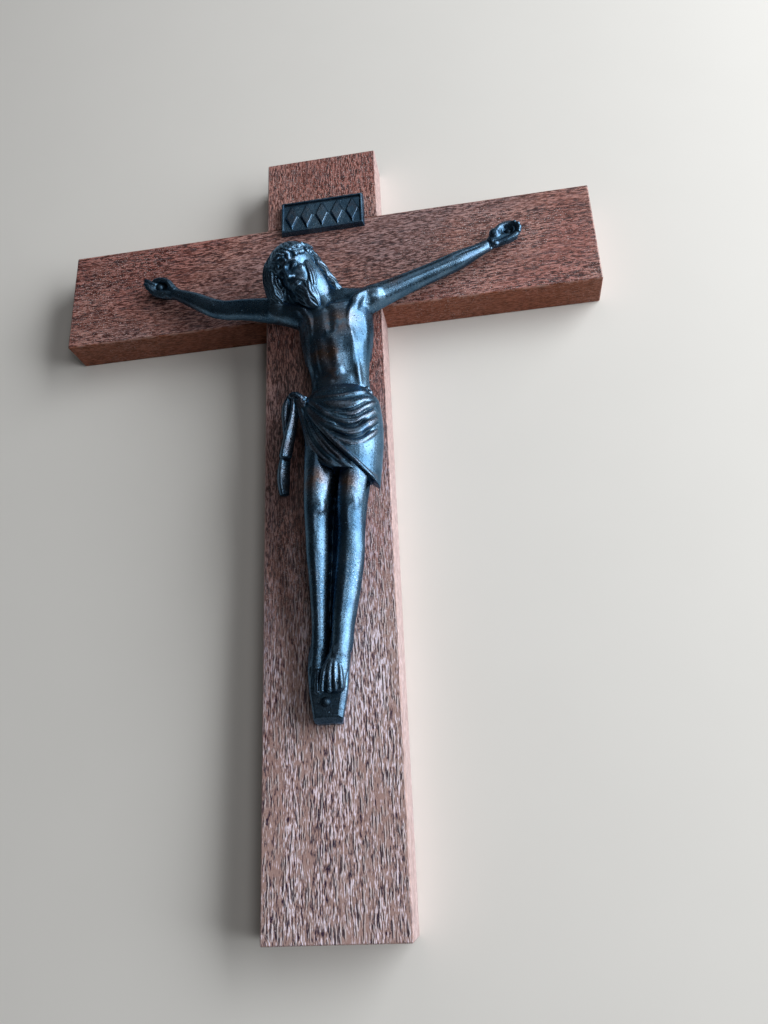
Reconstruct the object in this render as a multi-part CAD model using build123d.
from build123d import *
import os
from math import cos, pi, sin, sqrt

# Wall crucifix: two half-lapped beams, a cast figure on a foot rest, a cast title plate, nails and a hanger.
# It lies on its back. The origin is where the beams' centre lines cross, on the back face.
# +X is to the viewer's right, +Y towards the head end, +Z out of the front face. Millimetres.

# Beams
upright_length = 305.0
upright_width = 47.3
upright_above_cross_beam = 35.5
cross_beam_length = 219.0
cross_beam_width = 45.6
beam_thickness = 15.0
beam_edge_round = 0.6
lap_share = 0.5
lap_clearance = 0.05

# Figure: overall sizes
arm_span = 156.0
figure_height = 172.0
figure_depth = 30.0
crown_drop = 1.2

# Figure: sizes of its forms
chest_width = 27.0
torso_depth = 20.0
neck_thickness = 9.0
head_width = 19.0
head_depth = 19.0
hair_thickness = 11.0
arm_thickness = 8.4
hand_width = 8.2
hand_thickness = 5.4
finger_thickness = 2.1
leg_thickness = 10.0
foot_width = 8.0
foot_thickness = 6.4
toe_thickness = 1.9
cloth_width = 31.0
cloth_depth = 20.0
fold_thickness = 3.2
tail_width = 5.4
tail_thickness = 5.0

# Foot rest, cast with the figure
foot_rest_length = 27.0
foot_rest_top_width = 14.6
foot_rest_toe_width = 12.0
foot_rest_bottom_width = 8.4
foot_rest_height = 8.2
foot_rest_heel_height = 2.0
foot_rest_ledge = 10.0
foot_rest_below_nail = 6.4
foot_rest_draft_degrees = 5.0

# Title plate
plaque_width = 35.5
plaque_height = 15.8
plaque_thickness = 2.6
plaque_offset = 0.5
plaque_lap = 4.6
plaque_corner = 0.9
plaque_border = 1.1
plaque_relief = 0.8
plaque_side_draft_degrees = 8.0
lozenge_count = 5
lozenge_gap = 1.0
peg_radius = 1.2
peg_length = 5.0
peg_spacing = 24.0
peg_rise = 2.6
peg_clearance = 0.05

# Nails
nail_shank_radius = 0.75
nail_head_radius = 1.65
nail_head_height = 1.1
nail_grip = 10.0
nail_point = 1.8
nail_wood_clearance = 0.02
nail_cast_clearance = 0.15
nail_seat_clearance = 0.25

# Keyhole hanger let into the back of the upright
hanger_length = 30.0
hanger_width = 13.0
hanger_thickness = 1.2
hanger_end_round = 3.0
hanger_top_margin = 6.0
hanger_clearance = 0.1
keyhole_entry_radius = 4.0
keyhole_slot_radius = 2.0
keyhole_slot_rise = 7.0
keyhole_drop = 3.0
pocket_depth = 5.0
pocket_margin = 0.8
screw_inset = 3.6
screw_radius = 1.1
screw_head_radius = 2.2
screw_length = 9.0
screw_slot_width = 0.6
screw_slot_depth = 0.5
screw_clearance = 0.05

# Cuts run past the faces that they open by this much
overrun = 1.0

# A shape that stands on its place, centred over it
standing = (Align.CENTER, Align.CENTER, Align.MIN)

# Worked out from the sizes above
wood_front = beam_thickness
lap_depth = beam_thickness * lap_share
upright_top = cross_beam_width / 2 + upright_above_cross_beam
upright_bottom = upright_top - upright_length
plaque_center_y = cross_beam_width / 2 - plaque_lap + plaque_height / 2
hanger_center_y = upright_top - hanger_top_margin - hanger_length / 2

# Each row of the tables below is one section of a form, from its first end to its last.
# The first three shares place its centre: across of arm_span, down of figure_height, out of figure_depth.
# The last two are its width and its depth, as shares of the width and depth of that form.
torso_shares = [
    (0.034, 0.128, 0.37, 0.66, 0.42),
    (0.038, 0.172, 0.36, 1.06, 0.76),
    (0.045, 0.224, 0.33, 1.00, 0.94),
    (0.047, 0.276, 0.32, 0.94, 0.96),
    (0.048, 0.328, 0.25, 0.83, 0.74),
    (0.049, 0.380, 0.23, 0.86, 0.70),
    (0.050, 0.432, 0.23, 0.86, 0.66),
]
neck_shares = [
    (-0.014, 0.120, 0.58, 0.95, 1.00),
    (0.016, 0.148, 0.46, 1.00, 1.10),
    (0.036, 0.176, 0.38, 1.30, 1.30),
]
head_shares = [
    (0.005, 0.184, 0.68, 0.22, 0.24),
    (-0.006, 0.156, 0.67, 0.52, 0.56),
    (-0.022, 0.118, 0.66, 0.82, 0.90),
    (-0.037, 0.082, 0.66, 0.98, 1.00),
    (-0.047, 0.050, 0.67, 0.98, 0.96),
    (-0.053, 0.024, 0.68, 0.76, 0.72),
    (-0.055, 0.010, 0.68, 0.30, 0.28),
]
right_hair_shares = [
    (-0.034, 0.020, 0.58, 0.66, 0.95),
    (-0.007, 0.053, 0.53, 0.88, 1.15),
    (0.020, 0.092, 0.45, 0.86, 1.10),
    (0.044, 0.126, 0.37, 0.62, 0.72),
]
left_hair_shares = [
    (-0.078, 0.022, 0.60, 0.62, 1.00),
    (-0.103, 0.066, 0.52, 0.72, 1.25),
    (-0.103, 0.118, 0.45, 0.72, 1.15),
    (-0.086, 0.164, 0.38, 0.50, 0.80),
]
right_lock_shares = [
    (0.000, 0.070, 0.68, 0.34, 0.60),
    (0.016, 0.125, 0.66, 0.36, 0.56),
    (0.024, 0.182, 0.58, 0.20, 0.34),
]
right_arm_shares = [
    (0.085, 0.158, 0.33, 1.50, 1.50),
    (0.132, 0.139, 0.30, 1.25, 1.31),
    (0.221, 0.103, 0.25, 1.00, 1.02),
    (0.298, 0.076, 0.233, 0.95, 0.96),
    (0.353, 0.054, 0.213, 0.92, 0.88),
    (0.400, 0.032, 0.18, 0.68, 0.64),
    (0.438, 0.011, 0.145, 0.52, 0.48),
]
left_arm_shares = [
    (-0.032, 0.162, 0.33, 1.50, 1.50),
    (-0.088, 0.142, 0.30, 1.31, 1.37),
    (-0.179, 0.119, 0.267, 1.07, 1.07),
    (-0.244, 0.109, 0.243, 0.98, 0.98),
    (-0.284, 0.094, 0.23, 0.96, 0.94),
    (-0.335, 0.063, 0.195, 0.84, 0.79),
    (-0.388, 0.036, 0.15, 0.54, 0.48),
]
right_leg_shares = [
    (0.088, 0.470, 0.30, 1.30, 1.30),
    (0.091, 0.555, 0.42, 1.08, 1.14),
    (0.088, 0.612, 0.46, 0.93, 1.03),
    (0.083, 0.660, 0.40, 0.86, 0.98),
    (0.075, 0.716, 0.35, 0.92, 1.04),
    (0.061, 0.805, 0.31, 0.72, 0.82),
    (0.044, 0.885, 0.30, 0.54, 0.64),
    (0.036, 0.925, 0.30, 0.58, 0.66),
]
left_leg_shares = [
    (0.006, 0.470, 0.30, 1.30, 1.30),
    (0.005, 0.552, 0.42, 1.08, 1.14),
    (0.002, 0.607, 0.465, 0.95, 1.04),
    (-0.004, 0.655, 0.41, 0.88, 1.00),
    (-0.009, 0.708, 0.35, 0.96, 1.06),
    (-0.009, 0.805, 0.27, 0.72, 0.80),
    (-0.010, 0.885, 0.22, 0.54, 0.62),
    (-0.014, 0.925, 0.20, 0.60, 0.62),
]
right_foot_shares = [
    (0.038, 0.905, 0.30, 0.66, 0.95),
    (0.030, 0.945, 0.33, 0.86, 1.00),
    (0.022, 0.972, 0.33, 1.00, 0.78),
    (0.017, 0.990, 0.31, 0.94, 0.50),
]
left_foot_shares = [
    (-0.012, 0.905, 0.20, 0.66, 0.90),
    (-0.016, 0.950, 0.22, 0.84, 0.90),
    (-0.010, 0.992, 0.23, 0.80, 0.56),
]
cloth_shares = [
    (0.048, 0.345, 0.235, 0.80, 0.80),
    (0.048, 0.388, 0.25, 0.95, 0.95),
    (0.050, 0.446, 0.265, 1.00, 1.00),
    (0.052, 0.505, 0.295, 0.96, 1.00),
    (0.048, 0.556, 0.33, 0.86, 0.94),
]
hem_turn_degrees = 16.0
tail_shares = [
    (-0.056, 0.372, 0.34, 0.90, 1.00),
    (-0.076, 0.440, 0.28, 0.95, 1.20),
    (-0.088, 0.495, 0.25, 1.15, 1.40),
    (-0.097, 0.538, 0.17, 0.80, 1.00),
    (-0.102, 0.574, 0.13, 0.46, 0.70),
]

# Ridges of the cloth's main folds, from the knot round to the hip: across and down as above
fold_shares = {
    "waist_roll": [(-0.054, 0.370), (-0.009, 0.384), (0.039, 0.389), (0.090, 0.385), (0.124, 0.366)],
    "upper_fold": [(-0.030, 0.402), (0.016, 0.440), (0.078, 0.456), (0.116, 0.422), (0.134, 0.392)],
    "middle_fold": [(-0.015, 0.424), (0.028, 0.461), (0.075, 0.487), (0.110, 0.468), (0.135, 0.428)],
    "lower_fold": [(-0.022, 0.429), (0.020, 0.478), (0.070, 0.516), (0.110, 0.500), (0.134, 0.460)],
    "crossing_hem": [(-0.022, 0.432), (0.019, 0.491), (0.056, 0.530), (0.090, 0.556), (0.120, 0.576)],
    "left_hem": [(-0.035, 0.421), (-0.023, 0.484), (-0.005, 0.527), (0.021, 0.552), (0.047, 0.562)],
}
fold_sink_share = 0.20
fold_taper_shares = [0.60, 1.00, 1.00, 1.00, 0.60]

# Palms as sections, and the thumbs' and fingers' places, as above
palm_shares = {
    "left": [
        (-0.378, 0.042, 0.15, 0.50, 0.70),
        (-0.404, 0.026, 0.12, 0.86, 0.95),
        (-0.428, 0.010, 0.10, 1.00, 1.00),
        (-0.452, 0.000, 0.095, 0.94, 0.80),
    ],
    "right": [
        (0.430, 0.016, 0.15, 0.50, 0.70),
        (0.452, 0.004, 0.12, 0.86, 0.95),
        (0.474, -0.011, 0.10, 1.00, 1.00),
        (0.496, -0.022, 0.095, 0.98, 0.80),
    ],
}
thumb_shares = {
    "left": [(-0.398, 0.022, 0.19), (-0.415, -0.002, 0.21), (-0.434, -0.012, 0.19)],
    "right": [(0.444, -0.004, 0.18), (0.458, -0.022, 0.21), (0.474, -0.033, 0.19)],
}
knuckle_share = {"left": (-0.449, 0.001, 0.10), "right": (0.494, -0.018, 0.10)}
finger_run_share = {"left": (-0.036, -0.016), "right": (0.021, -0.002)}
finger_rise_share = {"left": 0.045, "right": 0.07}
finger_taper_shares = [0.60, 1.00, 1.00, 0.70]
toe_taper_shares = [1.00, 1.00, 0.70]
thumb_taper_shares = [1.00, 1.00, 0.70]
finger_count = 4
toe_count = 5
toe_root_share = (0.018, 0.986, 0.31)
toe_run_share = (-0.003, 0.020)
toe_drop_share = 0.03

# Nail places, with the height at which each head sits
left_nail_share = (-0.437, 0.007, 0.165)
right_nail_share = (0.485, -0.018, 0.12)
foot_nail_share = (-0.001, 1.016, 0.262)


def figure_point(across, down, out):
    """A place on the figure, from its shares of the span, the height and the depth."""
    return Vector(
        arm_span * across,
        -crown_drop - figure_height * down,
        wood_front + figure_depth * out,
    )


def oval(center, along, width, depth):
    """An upright oval face at center, square to the level direction along."""
    aside = along.cross(Vector(0, 0, 1))
    turns = [pi * step / 4 for step in range(8)]
    ring = [center + aside * (cos(turn) * width / 2) + Vector(0, 0, sin(turn) * depth / 2) for turn in turns]
    return make_face(Spline(ring, periodic=True))


def level(run):
    """The level direction of a run."""
    return Vector(run.X, run.Y, 0).normalized()


def swelling(centers, widths, depths, last_turn_degrees=0):
    """A closed form through oval sections at centers, whose last section may be turned about +Z."""
    last = len(centers) - 1
    sections = []
    for step, center in enumerate(centers):
        along = level(centers[min(step + 1, last)] - centers[max(step - 1, 0)])
        if step == last:
            along = along.rotate(Axis.Z, last_turn_degrees)
        sections.append(oval(center, along, widths[step], depths[step]))
    return loft(sections)


def form(rows, width, depth, last_turn_degrees=0):
    """A form of the figure from a table of shares."""
    return swelling(
        [figure_point(*row[:3]) for row in rows],
        [row[3] * width for row in rows],
        [row[4] * depth for row in rows],
        last_turn_degrees,
    )


def rod(places, thickness, taper_shares):
    """A round tapering form through places, as a finger, a toe or a fold."""
    sizes = [thickness * share for share in taper_shares]
    return swelling(places, sizes, sizes)


def fingers(side):
    """The four fingers of one hand, side by side across the knuckles and curling up."""
    root = figure_point(*knuckle_share[side])
    run = Vector(arm_span * finger_run_share[side][0], -figure_height * finger_run_share[side][1], 0)
    rise = Vector(0, 0, figure_depth * finger_rise_share[side])
    aside = level(run).cross(Vector(0, 0, 1))
    pitch = hand_width / finger_count
    made = []
    for number in range(finger_count):
        start = root + aside * (pitch * (number - (finger_count - 1) / 2))
        places = [start - run, start, start + run / 2 + rise / 2, start + run + rise]
        made.append(rod(places, finger_thickness, finger_taper_shares))
    return made


def toes():
    """The toes of the upper foot, side by side across its end."""
    root = figure_point(*toe_root_share)
    run = Vector(arm_span * toe_run_share[0], -figure_height * toe_run_share[1], 0)
    drop = Vector(0, 0, -figure_depth * toe_drop_share)
    aside = level(run).cross(Vector(0, 0, 1))
    pitch = foot_width / toe_count
    made = []
    for number in range(toe_count):
        start = root + aside * (pitch * (number - (toe_count - 1) / 2))
        places = [start - run, start + run / 2, start + run + drop]
        made.append(rod(places, toe_thickness, toe_taper_shares))
    return made


def cloth_point(across, down):
    """A place on the front of the cloth, from its shares of the span and the height."""
    step = 0
    while step < len(cloth_shares) - 2 and cloth_shares[step + 1][1] < down:
        step += 1
    first, second = cloth_shares[step], cloth_shares[step + 1]
    part = min(max((down - first[1]) / (second[1] - first[1]), 0), 1)
    middle, _, out, width, depth = [low + part * (high - low) for low, high in zip(first, second)]
    aside = arm_span * (across - middle) / (cloth_width * width / 2)
    rise = cloth_depth * depth / 2 * sqrt(max(1 - aside**2, 0))
    return figure_point(across, down, out) + Vector(0, 0, rise)


def folds():
    """The raised ridges of the cloth's folds, half sunk in its front."""
    sink = Vector(0, 0, -fold_thickness * fold_sink_share)
    made = []
    for rows in fold_shares.values():
        made.append(rod([cloth_point(*row) + sink for row in rows], fold_thickness, fold_taper_shares))
    return made


def foot_rest():
    """The tapered block under the feet, its bearing face rising towards the toes."""
    bottom = figure_point(*foot_nail_share).Y - foot_rest_below_nail
    ledge = bottom + foot_rest_ledge
    top = bottom + foot_rest_length
    outline = Plane.XY.offset(wood_front) * Polygon(
        (-foot_rest_bottom_width / 2, bottom),
        (foot_rest_bottom_width / 2, bottom),
        (foot_rest_toe_width / 2, ledge),
        (foot_rest_top_width / 2, top),
        (-foot_rest_top_width / 2, top),
        (-foot_rest_toe_width / 2, ledge),
        align=None,
    )
    block = extrude(outline, amount=foot_rest_height, taper=foot_rest_draft_degrees)
    above = wood_front + foot_rest_height + overrun
    slope = Plane.YZ * Polygon(
        (ledge, wood_front + foot_rest_height),
        (top + overrun, wood_front + foot_rest_heel_height),
        (top + overrun, above),
        (ledge, above),
        align=None,
    )
    return block - extrude(slope, amount=foot_rest_top_width, both=True)


def nail_places():
    """Each nail's name and the place where the underside of its head sits."""
    return {
        "left_hand_nail": figure_point(*left_nail_share),
        "right_hand_nail": figure_point(*right_nail_share),
        "foot_nail": figure_point(*foot_nail_share),
    }


def bar(place, radius, low, high):
    """A round bar along +Z over a place, between two heights."""
    return Pos(place.X, place.Y, low) * Cylinder(radius, high - low, align=standing)


def corpus():
    """The cast figure and its foot rest in one piece, flat where it lies on the wood."""
    pieces = [
        form(torso_shares, chest_width, torso_depth),
        form(neck_shares, neck_thickness, neck_thickness),
        form(head_shares, head_width, head_depth),
        form(right_hair_shares, hair_thickness, hair_thickness),
        form(left_hair_shares, hair_thickness, hair_thickness),
        form(right_lock_shares, hair_thickness, hair_thickness),
        form(right_arm_shares, arm_thickness, arm_thickness),
        form(left_arm_shares, arm_thickness, arm_thickness),
        form(right_leg_shares, leg_thickness, leg_thickness),
        form(left_leg_shares, leg_thickness, leg_thickness),
        form(right_foot_shares, foot_width, foot_thickness),
        form(left_foot_shares, foot_width, foot_thickness),
        form(cloth_shares, cloth_width, cloth_depth, -hem_turn_degrees),
        form(tail_shares, tail_width, tail_thickness),
        foot_rest(),
    ]
    pieces += folds()
    for side in palm_shares:
        pieces.append(form(palm_shares[side], hand_width, hand_thickness))
        thumb = [figure_point(*row) for row in thumb_shares[side]]
        pieces.append(rod(thumb, finger_thickness, thumb_taper_shares))
        pieces += fingers(side)
    pieces += toes()
    cast = pieces[0] + pieces[1:]
    cast -= Pos(0, 0, wood_front) * Box(
        2 * arm_span, 3 * figure_height, figure_depth, align=(Align.CENTER, Align.CENTER, Align.MAX)
    )
    for seat in nail_places().values():
        cast -= bar(seat, nail_shank_radius + nail_cast_clearance, wood_front - overrun, seat.Z + overrun)
        cast -= bar(seat, nail_head_radius + nail_seat_clearance, seat.Z, wood_front + figure_depth)
    return cast


def nail(seat):
    """A round wire nail with a domed head, its head's underside at seat, driven into the wood."""
    tip = wood_front - nail_grip
    shank = bar(seat, nail_shank_radius, tip + nail_point, seat.Z)
    point = Pos(seat.X, seat.Y, tip) * Cone(0, nail_shank_radius, nail_point, align=standing)
    dome_radius = (nail_head_radius**2 + nail_head_height**2) / (2 * nail_head_height)
    dome = Pos(seat.X, seat.Y, seat.Z + nail_head_height - dome_radius) * Sphere(dome_radius)
    head = dome & bar(seat, nail_head_radius, seat.Z, seat.Z + nail_head_height)
    return shank + point + head


def nail_hole(seat):
    """The hole that a nail leaves in the wood."""
    return bar(seat, nail_shank_radius + nail_wood_clearance, wood_front - nail_grip, wood_front + overrun)


def peg_places():
    """Where the plate's two pegs enter the upright."""
    row = plaque_center_y + peg_rise
    return [Vector(plaque_offset + side * peg_spacing / 2, row, wood_front) for side in (-1, 1)]


def title_plaque():
    """The cast plate: a raised rim round a row of raised lozenges, with two pegs behind."""
    ground = plaque_thickness - plaque_relief
    face = Plane.XY.offset(wood_front) * Pos(plaque_offset, plaque_center_y)
    plate = extrude(
        face * RectangleRounded(plaque_width, plaque_height, plaque_corner),
        amount=plaque_thickness,
        taper=plaque_side_draft_degrees,
    )
    field_width = plaque_width - 4 * plaque_border
    field_height = plaque_height - 4 * plaque_border
    floor = Plane.XY.offset(wood_front + ground) * Pos(plaque_offset, plaque_center_y)
    plate -= extrude(floor * Rectangle(field_width, field_height), amount=plaque_relief + overrun)
    pitch = field_width / lozenge_count
    reach = (pitch - lozenge_gap) / 2
    rise = (field_height - lozenge_gap) / 2
    for number in range(lozenge_count):
        middle = floor * Pos(pitch * (number - (lozenge_count - 1) / 2), 0)
        lozenge = middle * Polygon((reach, 0), (0, rise), (-reach, 0), (0, -rise), align=None)
        plate += extrude(lozenge, amount=plaque_relief)
    for place in peg_places():
        plate += bar(place, peg_radius, wood_front - peg_length, wood_front + ground)
    return plate


def hanger_outline(grow, low, high):
    """The hanger plate's round-cornered shape, grown all round, between two heights."""
    shape = RectangleRounded(hanger_width + 2 * grow, hanger_length + 2 * grow, hanger_end_round + grow)
    return extrude(Plane.XY.offset(low) * Pos(0, hanger_center_y) * shape, amount=high - low)


def keyhole(grow, low, high):
    """The keyhole's shape, grown all round, between two heights: a round entry with a slot above it."""
    entry = Vector(0, hanger_center_y - keyhole_drop, low)
    slot_end = entry + Vector(0, keyhole_slot_rise, 0)
    slot_width = 2 * (keyhole_slot_radius + grow)
    slot_center = entry + Vector(0, keyhole_slot_rise / 2, 0)
    slot = Pos(*slot_center) * Box(slot_width, keyhole_slot_rise, high - low, align=standing)
    entry_bar = bar(entry, keyhole_entry_radius + grow, low, high)
    return entry_bar + slot + bar(slot_end, keyhole_slot_radius + grow, low, high)


def screw_places():
    """Where the hanger's two screws stand, on the back face."""
    reach = hanger_length / 2 - screw_inset
    return [Vector(0, hanger_center_y + side * reach, 0) for side in (-1, 1)]


def screw(place, grow=0):
    """A countersunk wood screw with its head flush in the back of the hanger plate."""
    head = Pos(place.X, place.Y, 0) * Cone(
        screw_head_radius + grow,
        screw_radius + grow,
        hanger_thickness,
        align=standing,
    )
    return head + bar(place, screw_radius + grow, hanger_thickness, screw_length + grow)


def hanger_screws():
    """The two hanger screws, each with a driver slot."""
    made = []
    for place in screw_places():
        slot = Pos(place.X, place.Y, 0) * Box(
            2 * screw_head_radius + overrun, screw_slot_width, 2 * screw_slot_depth
        )
        made.append(screw(place) - slot)
    return made


def hanger_plate():
    """The flush brass plate with its keyhole and its two countersunk holes."""
    plate = hanger_outline(0, 0, hanger_thickness)
    plate -= keyhole(0, -overrun, hanger_thickness + overrun)
    for place in screw_places():
        plate -= screw(place, screw_clearance)
    return plate


def beam(width, height, center_y):
    """A plain beam of the cross lying on its back, with softened edges."""
    wood = Pos(0, center_y, 0) * Box(width, height, beam_thickness, align=standing)
    return fillet(wood.edges(), beam_edge_round)


def cross_beam():
    """The cross beam, notched across its back for the upright, with holes for the hand nails."""
    wood = beam(cross_beam_length, cross_beam_width, 0)
    wood -= Pos(0, 0, -overrun) * Box(
        upright_width + 2 * lap_clearance,
        cross_beam_width + overrun,
        lap_depth + overrun,
        align=standing,
    )
    for name in ("left_hand_nail", "right_hand_nail"):
        wood -= nail_hole(nail_places()[name])
    return wood


def upright_beam():
    """The upright, notched across its front, with its nail hole, peg holes and hanger recess."""
    wood = beam(upright_width, upright_length, (upright_top + upright_bottom) / 2)
    wood -= Pos(0, 0, lap_depth) * Box(
        upright_width + overrun,
        cross_beam_width + 2 * lap_clearance,
        beam_thickness,
        align=standing,
    )
    wood -= nail_hole(nail_places()["foot_nail"])
    for place in peg_places():
        floor = wood_front - peg_length - peg_clearance
        wood -= bar(place, peg_radius + peg_clearance, floor, wood_front + overrun)
    wood -= hanger_outline(hanger_clearance, -overrun, hanger_thickness)
    wood -= keyhole(pocket_margin, 0, hanger_thickness + pocket_depth)
    for place in screw_places():
        wood -= screw(place, screw_clearance)
    return wood


nodes = {
    "upright_beam": upright_beam(),
    "cross_beam": cross_beam(),
    "corpus": corpus(),
    "title_plaque": title_plaque(),
    "hanger_plate": hanger_plate(),
    "hanger_screws": Compound(children=hanger_screws()),
}
for name, seat in nail_places().items():
    nodes[name] = nail(seat)

os.makedirs("parts", exist_ok=True)
for name, node in nodes.items():
    export_step(node, os.path.join("parts", f"{name}.step"))
    print(name, [round(size, 2) for size in node.bounding_box().size], "solids", len(node.solids()))
